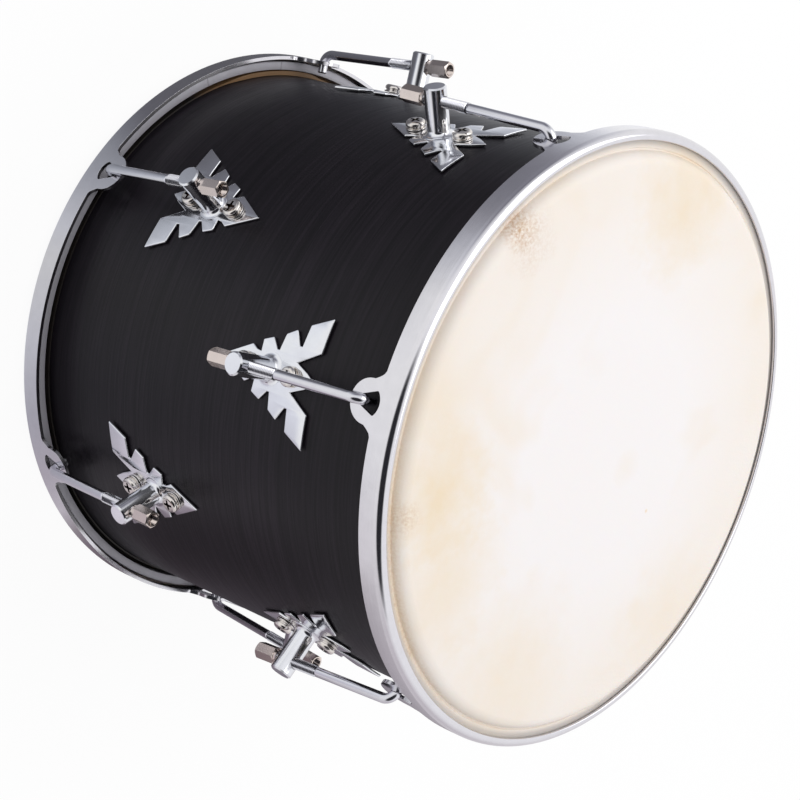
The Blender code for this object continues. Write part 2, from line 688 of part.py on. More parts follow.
def main():
    """Build the whole drum."""
    global parts, cutters
    clear_scene()
    parts = collection("repinique")
    cutters = collection("cutters")
    stain = finish("stained_veneer", (0.020, 0.018, 0.020), 0.38, 0.0)
    hide = finish("goat_skin", (0.86, 0.80, 0.70), 0.62, 0.0)
    chrome = finish("chromed_steel", (0.78, 0.79, 0.82), 0.14, 1.0)
    satin = finish("satin_steel", (0.62, 0.62, 0.66), 0.30, 1.0)
    zinc = finish("zinc_ring", (0.45, 0.45, 0.46), 0.45, 1.0)
    nickel = finish("warm_nickel", (0.70, 0.62, 0.55), 0.25, 1.0)
    upper = Matrix.Translation((0.0, 0.0, UPPER_FACE_Z))
    lower = Matrix.Translation((0.0, 0.0, LOWER_FACE_Z)) @ Matrix.Rotation(math.pi, 4, "X")
    lower_start = Matrix.Rotation(-LOWER_LUG_TURN, 4, "Z")
    make_shell(stain, (upper, lower @ lower_start))
    skin = template(turned("skin", skin_profile(), RING_STEPS, parts, closed=False))
    flesh_hoop = template(turned("flesh_hoop", flesh_hoop_profile(), RING_STEPS, parts))
    hoop = hoop_mesh()
    bracket = bracket_mesh()
    screw_pair = screw_pair_mesh()
    hook_rod = hook_rod_mesh()
    nut = nut_mesh()
    still = Matrix.Identity(4)
    for head, place, start in (("top", upper, still), ("bottom", lower, lower_start)):
        frame = head_frame(f"{head}_head", place)
        put(f"{head}_skin", skin, hide, frame, still)
        put(f"{head}_flesh_hoop", flesh_hoop, zinc, frame, still)
        put(f"{head}_hoop", hoop, satin, frame, start @ Matrix.Rotation(HOOP_TURN, 4, "Z"))
        for index, step in enumerate(lug_turns(), start=1):
            turn = start @ step
            put(f"{head}_lug_{index}", bracket, chrome, frame, turn)
            put(f"{head}_lug_screws_{index}", screw_pair, nickel, frame, turn)
            put(f"{head}_hook_rod_{index}", hook_rod, chrome, frame, turn @ rod_line())
            put(f"{head}_tuning_nut_{index}", nut, nickel, frame, turn @ rod_line())


main()
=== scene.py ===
"""The finished surfaces of a repinique, a two-headed drum with a stained wooden shell.

Each head's pieces are modelled once in a head frame, whose z = 0 is the hoop's outer face,
with z running negative towards the middle of the drum and the first lug on +X. They are
then placed at both heads and at every lug.
"""

import json
import math

import bmesh
import bpy
from bpy.props import FloatProperty, FloatVectorProperty, IntProperty, PointerProperty
from mathutils import Matrix, Vector


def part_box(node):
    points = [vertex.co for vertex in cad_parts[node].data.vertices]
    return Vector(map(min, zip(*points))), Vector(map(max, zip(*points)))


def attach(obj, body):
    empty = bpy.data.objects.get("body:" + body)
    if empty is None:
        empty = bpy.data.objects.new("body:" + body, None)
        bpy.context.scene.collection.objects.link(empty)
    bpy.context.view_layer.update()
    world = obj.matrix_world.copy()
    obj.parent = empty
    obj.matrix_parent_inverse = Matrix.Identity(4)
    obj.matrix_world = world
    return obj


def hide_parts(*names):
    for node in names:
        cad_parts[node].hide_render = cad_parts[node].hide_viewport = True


bl_info = {
    "name": "Repinique",
    "version": (1, 0, 0),
    "blender": (4, 5, 0),
    "location": "View3D > Sidebar > Drum",
    "description": "Shell, heads, hoops and tuning lugs of a repinique",
    "category": "Object",
}

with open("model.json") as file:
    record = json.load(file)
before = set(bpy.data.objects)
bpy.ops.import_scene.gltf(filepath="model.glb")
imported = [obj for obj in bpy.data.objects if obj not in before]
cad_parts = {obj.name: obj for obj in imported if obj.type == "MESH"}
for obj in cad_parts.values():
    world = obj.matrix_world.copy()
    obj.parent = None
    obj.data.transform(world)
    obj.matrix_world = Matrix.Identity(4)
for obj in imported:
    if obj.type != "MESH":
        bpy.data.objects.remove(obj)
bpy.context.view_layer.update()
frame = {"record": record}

HEADS = ("top", "bottom")
LUGS = range(1, 7)
SHELL_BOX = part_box("shell")
SHELL_R = SHELL_BOX[1].x
SHELL_LOW = SHELL_BOX[0].z
SHELL_HIGH = SHELL_BOX[1].z
TOP_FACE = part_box("top_hoop")[1].z
BOTTOM_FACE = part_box("bottom_hoop")[0].z
HOOP_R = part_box("top_hoop")[1].x / math.cos(math.radians(0.9))
FLESH_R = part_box("top_flesh_hoop")[1].x
SKIN_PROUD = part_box("top_skin")[1].z - TOP_FACE
EAR_TIP_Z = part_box("top_hoop")[0].z - TOP_FACE
RING_STEPS = 192


def joint_facts(name):
    """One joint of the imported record."""
    found = [joint for joint in frame["record"]["behaviour"]["joints"] if joint["name"] == name]
    return found[0]


FIRST_NUT = joint_facts("top_nut_turn_1")
ROD_HOLE_X = FIRST_NUT["pos_m"][0]
LUG_Z = FIRST_NUT["pos_m"][2] - TOP_FACE
ROD_ALONG = -Vector(FIRST_NUT["axis"]).normalized()
HOOP_TURN = math.radians(-0.9)
EAR_OUTWARD = Vector((math.cos(HOOP_TURN), math.sin(HOOP_TURN), 0.0))
HOOK_CLEARANCE = 0.0005


# Stains of each head: x, y, reach, softness, strength, and whether they lie in the pores
STAINS = {
    "top": (
        (0.115, -0.097, 0.0060, 0.0070, 0.85, True), (0.105, -0.092, 0.0080, 0.0120, 0.35, True),
        (-0.008, -0.132, 0.0200, 0.0260, 0.70, False), (0.122, 0.032, 0.0170, 0.0240, 0.90, False),
        (0.102, 0.072, 0.0200, 0.0260, 0.55, False), (0.030, 0.118, 0.0240, 0.0320, 0.40, False),
        (-0.024, 0.008, 0.0050, 0.0070, 0.22, False), (-0.100, 0.085, 0.0180, 0.0260, 0.35, False),
        (-0.0532, 0.0304, 0.0008, 0.0006, 0.90, False), (-0.1235, 0.0888, 0.0010, 0.0010, 0.80, True),
        (-0.1177, 0.0943, 0.0007, 0.0007, 0.70, True), (0.141, 0.046, 0.0040, 0.0070, 0.45, True),
    ),
    "bottom": ((0.080, 0.060, 0.0200, 0.0300, 0.45, False), (-0.110, 0.050, 0.0080, 0.0120, 0.60, True)),
}

# How far each nut is turned, in degrees, which leaves its flats facing its own way
NUT_TURNS = {"top": (0, 30, 12, 41, 25, 15), "bottom": (30, 0, 17, 8, 33, 22)}


class DrumSizes(bpy.types.PropertyGroup):
    """Sizes of the drum's pieces that a user may change."""

    shell_wall: FloatProperty(
        name="Shell wall", description="Thickness of the wooden shell", default=0.007, unit="LENGTH"
    )
    bearing_round: FloatProperty(
        name="Bearing edge", description="Rounding outside the shell's ends", default=0.0058, unit="LENGTH"
    )
    skin_thickness: FloatProperty(
        name="Skin thickness", description="Thickness of each head's skin", default=0.0009, unit="LENGTH"
    )
    hoop_thickness: FloatProperty(
        name="Hoop thickness", description="Sheet thickness of the hoops", default=0.002, unit="LENGTH"
    )
    hoop_roll: FloatProperty(
        name="Hoop roll", description="Outer radius of the hoop's rolled edge", default=0.004, unit="LENGTH"
    )
    hoop_flange: FloatProperty(
        name="Hoop flange", description="Width of the hoop's flange", default=0.0053, unit="LENGTH"
    )
    hoop_band: FloatProperty(
        name="Hoop band", description="Height of the hoop between its ears", default=0.0136, unit="LENGTH"
    )
    plate_thickness: FloatProperty(
        name="Plate thickness", description="Thickness of a lug's plate", default=0.0015, unit="LENGTH"
    )
    post_radius: FloatProperty(
        name="Post radius", description="Radius of a lug's post", default=0.006, unit="LENGTH"
    )
    rod_radius: FloatProperty(
        name="Rod radius", description="Radius of a hook rod's shank", default=0.00265, unit="LENGTH"
    )
    thread_radius: FloatProperty(
        name="Thread radius", description="Outer radius of the rod's thread", default=0.003, unit="LENGTH"
    )
    thread_pitch: FloatProperty(
        name="Thread pitch", description="Rise of the thread in a turn", default=0.001, unit="LENGTH"
    )
    nut_flats: FloatProperty(
        name="Nut across flats", description="Width of a tuning nut", default=0.0083, unit="LENGTH"
    )
    ear_tip_wall: FloatProperty(
        name="Ear tip", description="Metal between an ear's hole and its tip", default=0.0054, unit="LENGTH"
    )
    ear_hole_length: FloatProperty(
        name="Ear hole", description="Length of an ear's hole", default=0.0127, unit="LENGTH"
    )
    nut_length: FloatProperty(
        name="Nut length", description="Length of a nut's hexagon", default=0.013, unit="LENGTH"
    )


class DrumColours(bpy.types.PropertyGroup):
    """Colours of the drum's finishes."""

    veneer: FloatVectorProperty(
        name="Veneer", description="Stained wood", default=(0.0062, 0.0052, 0.0072), subtype="COLOR"
    )
    veneer_warm: FloatVectorProperty(
        name="Veneer, warm", description="Thin places in the stain", default=(0.0200, 0.0150, 0.0215), subtype="COLOR"
    )
    skin: FloatVectorProperty(
        name="Skin", description="Cream of the heads", default=(0.905, 0.868, 0.850), subtype="COLOR"
    )
    # Tan and amber also colour the collar at each skin's edge, where they are partly painted shade.
    skin_tan: FloatVectorProperty(
        name="Skin, tan", description="Soft stains of the heads", default=(0.84, 0.68, 0.455), subtype="COLOR"
    )
    skin_amber: FloatVectorProperty(
        name="Skin, amber", description="Stains and edge of the heads", default=(0.52, 0.29, 0.12), subtype="COLOR"
    )
    chrome: FloatVectorProperty(
        name="Chrome", description="Lugs and their posts", default=(0.80, 0.81, 0.84), subtype="COLOR"
    )
    rod: FloatVectorProperty(
        name="Rod steel", description="Hook rods", default=(0.70, 0.70, 0.74), subtype="COLOR"
    )
    hoop: FloatVectorProperty(
        name="Hoop steel", description="Counter hoops", default=(0.74, 0.73, 0.76), subtype="COLOR"
    )
    nickel: FloatVectorProperty(
        name="Warm nickel", description="Tuning nuts", default=(0.74, 0.65, 0.595), subtype="COLOR"
    )
    screw: FloatVectorProperty(
        name="Screw plate", description="Screws and washers", default=(0.76, 0.72, 0.68), subtype="COLOR"
    )
    ring: FloatVectorProperty(
        name="Ring metal", description="Flesh hoops", default=(0.50, 0.49, 0.53), subtype="COLOR"
    )


def sizes():
    """The drum's sizes."""
    return bpy.context.scene.drum_sizes


def colours():
    """The drum's colours."""
    return bpy.context.scene.drum_colours


def arc(centre_x, centre_z, radius, start, end, steps):
    """Points of an arc, both ends included, angles in degrees."""
    points = []
    for step in range(steps + 1):
        angle = math.radians(start + (end - start) * step / steps)
        points.append((centre_x + radius * math.cos(angle), centre_z + radius * math.sin(angle)))
    return points


def spun(profile, steps=RING_STEPS, closed=True):
    """A profile of (radius, height) points spun about Z."""
    shape = bmesh.new()
    points = [shape.verts.new((radius, 0.0, height)) for radius, height in profile]
    edges = [shape.edges.new(pair) for pair in zip(points, points[1:])]
    if closed:
        edges.append(shape.edges.new((points[-1], points[0])))
    bmesh.ops.spin(
        shape, geom=points + edges, cent=(0, 0, 0), axis=(0, 0, 1), dvec=(0, 0, 0),
        angle=math.tau, steps=steps, use_merge=True, use_duplicate=False,
    )
    bmesh.ops.remove_doubles(shape, verts=shape.verts, dist=1e-6)
    bmesh.ops.recalc_face_normals(shape, faces=shape.faces)
    return shape


def extruded(outline, start, end):
    """A flat outline of (x, y) points, carried from one height to another."""
    shape = bmesh.new()
    corners = [shape.verts.new((x, y, start)) for x, y in outline]
    base = shape.faces.new(corners)
    raised = bmesh.ops.extrude_face_region(shape, geom=[base])
    top = [item for item in raised["geom"] if isinstance(item, bmesh.types.BMVert)]
    bmesh.ops.translate(shape, verts=top, vec=(0, 0, end - start))
    bmesh.ops.recalc_face_normals(shape, faces=shape.faces)
    return shape


def rod(radius, start, end, sides=32):
    """A cylinder along Z between two heights."""
    shape = bmesh.new()
    bmesh.ops.create_cone(
        shape, cap_ends=True, segments=sides, radius1=radius, radius2=radius, depth=end - start
    )
    bmesh.ops.translate(shape, verts=shape.verts, vec=(0, 0, (start + end) / 2))
    return shape


def moved(shape, matrix):
    """The same shape after a placement."""
    bmesh.ops.transform(shape, matrix=matrix, verts=shape.verts)
    return shape


def softened(shape, width, angle=30, segments=2):
    """Round the sharp edges of a shape."""
    sharp = [
        edge for edge in shape.edges
        if len(edge.link_faces) == 2 and edge.calc_face_angle(0) > math.radians(angle)
    ]
    bmesh.ops.bevel(
        shape, geom=sharp, offset=width, segments=segments, profile=0.5, affect="EDGES", material=-1,
        clamp_overlap=True,
    )
    return shape


def as_mesh(name, shape):
    """A mesh of a shape, shaded smoothly up to its edges."""
    mesh = bpy.data.meshes.new(name)
    shape.to_mesh(mesh)
    shape.free()
    mesh.shade_smooth()
    mesh.set_sharp_from_angle(angle=math.radians(32))
    return mesh


def solid(name, mesh):
    """An object of a mesh in the scene."""
    made = bpy.data.objects.new(name, mesh)
    bpy.context.scene.collection.objects.link(made)
    return made


def boolean(target, tools, operation):
    """A shape after joining others to it or cutting them away."""
    base = solid("work", as_mesh("work", target))
    helpers = [solid(f"helper_{index}", as_mesh("helper", tool)) for index, tool in enumerate(tools)]
    for helper in helpers:
        step = base.modifiers.new("Step", "BOOLEAN")
        step.operation = operation
        step.solver = "EXACT"
        step.object = helper
    bpy.context.view_layer.update()
    graph = bpy.context.evaluated_depsgraph_get()
    result = bpy.data.meshes.new_from_object(base.evaluated_get(graph))
    shape = bmesh.new()
    shape.from_mesh(result)
    bpy.data.meshes.remove(result)
    for used in [base] + helpers:
        data = used.data
        bpy.data.objects.remove(used, do_unlink=True)
        bpy.data.meshes.remove(data)
    bmesh.ops.remove_doubles(shape, verts=shape.verts, dist=1e-6)
    return shape


def head_place(head):
    """The placement of one head's frame in the drum."""
    if head == "top":
        return Matrix.Translation((0, 0, TOP_FACE))
    return Matrix.Translation((0, 0, BOTTOM_FACE)) @ Matrix.Rotation(math.pi, 4, "X")


def lug_place(head, index):
    """The placement of a head frame turned to one of its lugs."""
    x, y, _ = joint_facts(f"{head}_nut_turn_{index}")["pos_m"]
    turn = Matrix.Rotation(math.atan2(y, x), 4, "Z")
    if head == "top":
        return Matrix.Translation((0, 0, TOP_FACE)) @ turn
    return Matrix.Translation((0, 0, BOTTOM_FACE)) @ turn @ Matrix.Rotation(math.pi, 4, "X")


def piece(name, mesh, place, material, body, nodes=()):
    """A placed copy of a mesh that rides on a body."""
    copy = mesh.copy()
    copy.transform(place)
    copy.materials.clear()
    copy.materials.append(material)
    made = solid(name, copy)
    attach(made, body)
    for node in nodes:
        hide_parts(node)
    return made


class Nodes:
    """A node tree under construction."""

    def __init__(self, tree):
        self.tree = tree

    def add(self, kind, values=(), **settings):
        """A node with the given input values and settings."""
        node = self.tree.nodes.new(kind)
        for key, value in settings.items():
            setattr(node, key, value)
        for key, value in dict(values).items():
            node.inputs[key].default_value = value
        return node

    def join(self, source, target):
        """Link an output to an input."""
        self.tree.links.new(source, target)

    def ramp(self, factor, stops):
        """Colours along a factor."""
        node = self.add("ShaderNodeValToRGB")
        band = node.color_ramp.elements
        band[0].position, band[0].color = stops[0][0], (*stops[0][1], 1.0)
        band[1].position, band[1].color = stops[-1][0], (*stops[-1][1], 1.0)
        for position, colour in stops[1:-1]:
            band.new(position).color = (*colour, 1.0)
        self.join(factor, node.inputs["Fac"])
        return node.outputs["Color"]

    def span(self, factor, low, high, to_low=0.0, to_high=1.0):
        """A factor brought from one range to another."""
        node = self.add(
            "ShaderNodeMapRange",
            {"From Min": low, "From Max": high, "To Min": to_low, "To Max": to_high},
        )
        self.join(factor, node.inputs["Value"])
        return node.outputs["Result"]

    def sum(self, first, second, operation="ADD"):
        """Two values put together."""
        node = self.add("ShaderNodeMath", operation=operation)
        self.join(first, node.inputs[0])
        if isinstance(second, float):
            node.inputs[1].default_value = second
        else:
            self.join(second, node.inputs[1])
        return node.outputs["Value"]

    def mix(self, factor, first, second):
        """A blend of two colours, each a socket or a value."""
        node = self.add("ShaderNodeMix", data_type="RGBA")
        self.join(factor, node.inputs["Factor"])
        for socket, value in (("A", first), ("B", second)):
            target = [item for item in node.inputs if item.name == socket and item.type == "RGBA"][0]
            if isinstance(value, bpy.types.NodeSocket):
                self.join(value, target)
            else:
                target.default_value = (*value, 1.0)
        return [item for item in node.outputs if item.type == "RGBA"][0]

    def length(self, place):
        """How long a vector is."""
        node = self.add("ShaderNodeVectorMath", operation="LENGTH")
        self.join(place, node.inputs[0])
        return node.outputs["Value"]

    def flat(self, place):
        """The direction of a place as seen from above."""
        level = self.add("ShaderNodeVectorMath", {1: (1.0, 1.0, 0.0)}, operation="MULTIPLY")
        self.join(place, level.inputs[0])
        node = self.add("ShaderNodeVectorMath", operation="NORMALIZE")
        self.join(level.outputs["Vector"], node.inputs[0])
        return node.outputs["Vector"]

    def facing(self, direction, aim):
        """How nearly a direction points one way, from -1 to 1."""
        node = self.add("ShaderNodeVectorMath", {1: aim}, operation="DOT_PRODUCT")
        self.join(direction, node.inputs[0])
        return node.outputs["Value"]


class Finish(Nodes):
    """A procedural material under construction."""

    def __init__(self, name, roughness, metallic=0.0):
        self.material = bpy.data.materials.new(name)
        self.material.use_nodes = True
        super().__init__(self.material.node_tree)
        self.shader = self.tree.nodes["Principled BSDF"]
        self.shader.inputs["Roughness"].default_value = roughness
        self.shader.inputs["Metallic"].default_value = metallic
        self.place = self.tree.nodes.new("ShaderNodeTexCoord").outputs["Object"]

    def scaled(self, scale):
        """The place on the object, stretched by axis."""
        mapping = self.add("ShaderNodeMapping", {"Scale": scale})
        self.join(self.place, mapping.inputs["Vector"])
        return mapping.outputs["Vector"]

    def noise(self, place, scale, detail=4.0, roughness=0.5, distortion=0.0):
        """Noise over a place, from 0 to 1."""
        node = self.add(
            "ShaderNodeTexNoise",
            {"Scale": scale, "Detail": detail, "Roughness": roughness, "Distortion": distortion},
        )
        self.join(place, node.inputs["Vector"])
        return node.outputs["Fac"]

    def colour(self, source):
        """Set the base colour."""
        self.join(source, self.shader.inputs["Base Color"])

    def roughness(self, source):
        """Set the roughness."""
        self.join(source, self.shader.inputs["Roughness"])

    def bump(self, height, distance, strength=1.0):
        """Set a bump of a real height."""
        node = self.add("ShaderNodeBump", {"Distance": distance, "Strength": strength})
        self.join(height, node.inputs["Height"])
        self.join(node.outputs["Normal"], self.shader.inputs["Normal"])

    def radius(self):
        """Distance from the drum's axis."""
        return self.length(self.scaled((1, 1, 0)))


def veneer_finish():
    """Black-stained veneer: fine dark lines round the shell, and thin places in the stain."""
    made = Finish("stained_veneer", 0.38)
    made.shader.inputs["Specular IOR Level"].default_value = 0.185
    wander = made.noise(made.scaled((5, 5, 14)), 1.0, 2.0)
    lines = made.noise(made.scaled((8, 8, 420)), 1.0, 3.0, 0.55, 0.8)
    fibre = made.noise(made.scaled((30, 30, 900)), 1.0, 4.0, 0.7)
    pores = made.span(made.noise(made.scaled((34, 34, 620)), 1.0, 3.0, 0.6), 0.50, 0.68, 1.0, 0.25)
    fleck = made.noise(made.scaled((60, 60, 110)), 1.0, 3.0, 0.6)
    grain = made.sum(made.span(lines, 0.36, 0.62), made.span(fibre, 0.2, 0.8, 0.55, 1.0), "MULTIPLY")
    grain = made.sum(grain, made.span(fleck, 0.25, 0.75, 0.75, 1.1), "MULTIPLY")
    thin = made.span(wander, 0.30, 0.72, 0.25, 1.0)
    shade = made.sum(made.sum(grain, thin, "MULTIPLY"), pores, "MULTIPLY")
    made.colour(made.mix(shade, tuple(colours().veneer), tuple(colours().veneer_warm)))
    made.roughness(made.span(fibre, 0.3, 0.7, 0.33, 0.45))
    made.bump(grain, 0.00004)
    return made.material


def skin_finish(name, stains):
    """Natural skin: near-white cream, faint clouds, a thin granular collar that is partly tan hide and partly painted
    shade, painted shade under the hoop's flange and on the hem below the flesh hoop, and amber stains.
    """
    made = Finish(name, 0.55)
    cloud = made.noise(made.scaled((9, 9, 9)), 1.0, 3.0, 0.55, 0.6)
    ragged = made.noise(made.scaled((70, 70, 70)), 1.0, 4.0, 0.6)
    speck = made.noise(made.scaled((750, 750, 750)), 1.0, 3.0, 0.6)
    pores = made.span(speck, 0.36, 0.66)
    cream = tuple(colours().skin)
    amber = tuple(colours().skin_amber)
    tan = tuple(colours().skin_tan)
    shade = made.mix(made.span(cloud, 0.54, 0.78, 0.0, 0.45), cream, tan)
    outer = made.sum(made.span(made.radius(), 0.070, 0.145), made.span(cloud, 0.3, 0.7, 0.4, 1.0), "MULTIPLY")
    shade = made.mix(made.sum(outer, 0.42, "MULTIPLY"), shade, tan)
    # Painted shade: the collar at the skin's edge is partly the hide's own tan and amber and partly painted shade,
    # strongest on the side away from the lamp.
    shaded_side = made.span(made.facing(made.flat(made.place), (0.848, 0.530, 0.0)), 0.80, 0.97, 0.10, 1.0)
    collar = made.span(made.radius(), SHELL_R - 0.0014, SHELL_R + 0.0034)
    collar = made.sum(collar, made.span(ragged, 0.35, 0.65, 0.45, 1.0), "MULTIPLY")
    collar = made.sum(collar, shaded_side, "MULTIPLY")
    shade = made.mix(made.sum(collar, 0.80, "MULTIPLY"), shade, tan)
    shade = made.mix(made.sum(made.sum(collar, pores, "MULTIPLY"), 0.65, "MULTIPLY"), shade, amber)
    # Painted shade: the skin's rim under the hoop's flange is greyed.
    lip_shade = made.span(made.radius(), SHELL_R + 0.0022, SHELL_R + 0.0045)
    shade = made.mix(lip_shade, shade, (0.58, 0.54, 0.50))
    split = made.add("ShaderNodeSeparateXYZ")
    made.join(made.place, split.inputs["Vector"])
    away = made.sum(made.sum(split.outputs["Z"], TOP_FACE / 2, "SUBTRACT"), 0.0, "ABSOLUTE")
    # Painted shade: the hem below the flesh hoop is near black, except around one side, where it keeps a dark amber.
    stained = made.span(made.facing(made.flat(made.place), (0.208, -0.978, 0.0)), 0.90, 0.97)
    skirt_shade = made.mix(stained, (0.012, 0.009, 0.007), (0.20, 0.11, 0.045))
    shade = made.mix(made.span(away, 0.1312, 0.1318), skirt_shade, shade)
    for x, y, reach, soft, strength, grainy in stains:
        centred = made.add("ShaderNodeVectorMath", {1: (x, y, 0.0)}, operation="SUBTRACT")
        made.join(made.scaled((1, 1, 0)), centred.inputs[0])
        away = made.length(centred.outputs["Vector"])
        edge = made.sum(away, made.span(ragged, 0.2, 0.8, -0.5 * soft, 0.5 * soft))
        stain = made.span(edge, reach + soft, reach - soft, 0.0, strength)
        if grainy:
            stain = made.sum(stain, pores, "MULTIPLY")
        shade = made.mix(stain, shade, amber if grainy else tan)
    made.colour(shade)
    wrinkle = made.noise(made.scaled((45, 330, 45)), 1.0, 3.0, 0.6, 0.4)
    made.bump(made.sum(wrinkle, speck), 0.00007)
    made.shader.inputs["Subsurface Weight"].default_value = 0.08
    made.shader.inputs["Subsurface Radius"].default_value = (0.004, 0.002, 0.001)
    made.shader.inputs["Subsurface Scale"].default_value = 0.5
    return made.material


def metal_finish(name, colour, roughness, streak=0.0, metallic=1.0):
    """Plated metal with faint marks in its polish, and painted shade where a mesh marks a hollow."""
    made = Finish(name, roughness, metallic)
    marks = made.noise(made.scaled((160, 160, 160)), 1.0, 4.0, 0.6)
    fine = made.noise(made.scaled((60, 60, 900)), 1.0, 2.0)
    made.roughness(made.span(marks, 0.3, 0.7, roughness * 0.9, roughness * 1.15))
    dull = tuple(channel * 0.95 for channel in colour)
    shade = made.mix(made.span(marks, 0.35, 0.75), tuple(colour), dull)
    # Painted shade: vertices marked by this attribute, in the screw heads' cross-shaped hollows, are coloured dark
    # brown.
    recess_shade = made.add("ShaderNodeAttribute", attribute_name="recess_shade").outputs["Fac"]
    made.colour(made.mix(recess_shade, shade, (0.045, 0.028, 0.020)))
    made.bump(fine, 0.00001 + streak)
    return made.material


class DRUM_OT_shell(bpy.types.Operator):
    """Add the wooden shell"""

    bl_idname = "drum.shell"
    bl_label = "Shell"

    def execute(self, context):
        size = sizes()
        inner = SHELL_R - size.shell_wall
        bend = size.bearing_round
        section = [(inner + 0.0008, SHELL_HIGH)]
        section += arc(SHELL_R - bend, SHELL_HIGH - bend, bend, 90, 0, 8)
        section += arc(SHELL_R - bend, SHELL_LOW + bend, bend, 0, -90, 8)
        section += [(inner + 0.0008, SHELL_LOW), (inner, SHELL_LOW + 0.0008)]
        section += [(inner, SHELL_HIGH - 0.0008)]
        mesh = as_mesh("shell", spun(section))
        piece("drum_shell", mesh, Matrix(), veneer_finish(), "drum", ["shell"])
        return {"FINISHED"}


class DRUM_OT_skins(bpy.types.Operator):
    """Add the two skins"""

    bl_idname = "drum.skins"
    bl_label = "Skins"

    def execute(self, context):
        size = sizes()
        thick = size.skin_thickness
        gap = 0.0003
        skirt_in = SHELL_R + gap
        skirt_out = skirt_in + thick
        bend = size.bearing_round + gap
        centre_x = skirt_out - bend - thick
        centre_z = SKIN_PROUD - bend - thick
        lip_z = -size.hoop_thickness - 0.0005
        crease = skirt_out + 0.0008
        low_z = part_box("top_skin")[0].z - TOP_FACE
        section = [(0.0, SKIN_PROUD), (centre_x * 0.5, SKIN_PROUD), (centre_x * 0.9, SKIN_PROUD)]
        section += arc(centre_x, centre_z, bend + thick, 90, 8, 12)
        section += arc(crease + 0.0006, lip_z - 0.0006, 0.0006, 180, 90, 4)
        section += [(FLESH_R - 0.0003, lip_z)]
        section += arc(FLESH_R - 0.0003, lip_z - thick / 2, thick / 2, 90, -90, 6)
        section += [(skirt_out + 0.0016, lip_z - thick), (skirt_out, lip_z - thick - 0.0012)]
        section += [(skirt_out, low_z + 0.0014), (skirt_out + 0.0012, low_z + 0.0010)]
        section += [(skirt_out + 0.0016, low_z), (skirt_in, low_z)]
        section += arc(centre_x, centre_z, bend, 0, 90, 8)
        section += [(0.0, SKIN_PROUD - thick)]
        shape = spun(section, closed=False)
        for corner in shape.verts:
            if corner.co.z < low_z + 0.0015:
                turn = math.degrees(math.atan2(corner.co.y, corner.co.x))
                shown = min(max((14.5 - abs(turn - 76.0)) / 5.0, 0.0), 1.0)
                across = math.hypot(corner.co.x, corner.co.y)
                kept = min(across, skirt_out) + shown * max(across - skirt_out, 0.0)
                corner.co.xy *= kept / across
                corner.co.z += 0.0014 * (1.0 - shown)
        mesh = as_mesh("skin", shape)
        for head in HEADS:
            finish = skin_finish(f"{head}_natural_skin", STAINS[head])
            piece(f"{head}_head_skin", mesh, head_place(head), finish, "drum", [f"{head}_skin"])
        return {"FINISHED"}


class DRUM_OT_flesh_hoops(bpy.types.Operator):
    """Add the rings that carry the skins"""

    bl_idname = "drum.flesh_hoops"
    bl_label = "Flesh hoops"

    def execute(self, context):
        low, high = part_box("top_flesh_hoop")
        top, under = high.z - TOP_FACE, low.z - TOP_FACE
        inner = FLESH_R - 0.0048
        section = [(inner, top), (FLESH_R, top), (FLESH_R, under), (inner, under)]
        shape = softened(spun(section), 0.0004)
        slits = []
        for turn in (57.0, 77.5, 196.0):
            slit = bmesh.new()
            bmesh.ops.create_cube(slit, size=1.0)
            place = Matrix.Rotation(math.radians(turn), 4, "Z") @ Matrix.Translation((FLESH_R, 0, under))
            slits.append(moved(slit, place @ Matrix.Diagonal((0.03, 0.0003, 0.03, 1))))
        shape = boolean(shape, slits, "DIFFERENCE")
        mesh = as_mesh("flesh_hoop", shape)
        finish = metal_finish("ring_metal", colours().ring, 0.55, 0.00004, 0.35)
        for head in HEADS:
            name = f"{head}_flesh_hoop"
            piece(f"{name}_ring", mesh, head_place(head), finish, "drum", [name])
        return {"FINISHED"}


def ear_outline():
    """An ear as (height, side) points, from one foot round the tip to the other."""
    foot = -sizes().hoop_band
    tip = EAR_TIP_Z + 0.011
    half = [(foot + 0.004, 0.0168), (foot + 0.0001, 0.0160)]
    half += [(foot - 0.0007, 0.0142), (foot - 0.0019, 0.0131), (foot - 0.0034, 0.0121)]
    half += [(tip + 0.0006, 0.0111)]
    tip_arc = arc(tip, 0.0, 0.011, 95, 265, 20)
    other = [(z, -side) for z, side in reversed(half)]
    return half + tip_arc + other


def ear_hole_outline():
    """The hole of an ear: round at the tip, arched at the foot with small corners."""
    size = sizes()
    tip_r = size.rod_radius + HOOK_CLEARANCE
    tip = EAR_TIP_Z + size.ear_tip_wall + tip_r
    arch_r, corner_r = 0.0080, 0.0012
    arch = EAR_TIP_Z + size.ear_tip_wall + size.ear_hole_length - arch_r
    side = 0.0058 - corner_r
    rise = math.sqrt((arch_r - corner_r) ** 2 - side**2)
    corner = arch + rise
    lean = math.degrees(math.atan2(side, rise))
    apart = math.hypot(corner - tip, side)
    edge = math.degrees(math.atan2(side, corner - tip) + math.acos((tip_r - corner_r) / apart))
    points = arc(tip, 0.0, tip_r, edge, 360 - edge, 14)
    points += arc(corner, -side, corner_r, 360 - edge, 360 - lean, 6)
    points += arc(arch, 0.0, arch_r, -lean, lean, 12)[1:-1]
    points += arc(corner, side, corner_r, lean, edge, 6)
    return points


def radial(outline, start, end):
    """An outline of (height, side) points carried outwards along +X."""
    axes = Matrix(((0, 0, 1, 0), (0, 1, 0, 0), (1, 0, 0, 0), (0, 0, 0, 1)))
    shape = moved(extruded(outline, start, end), axes)
    bmesh.ops.recalc_face_normals(shape, faces=shape.faces)
    return shape


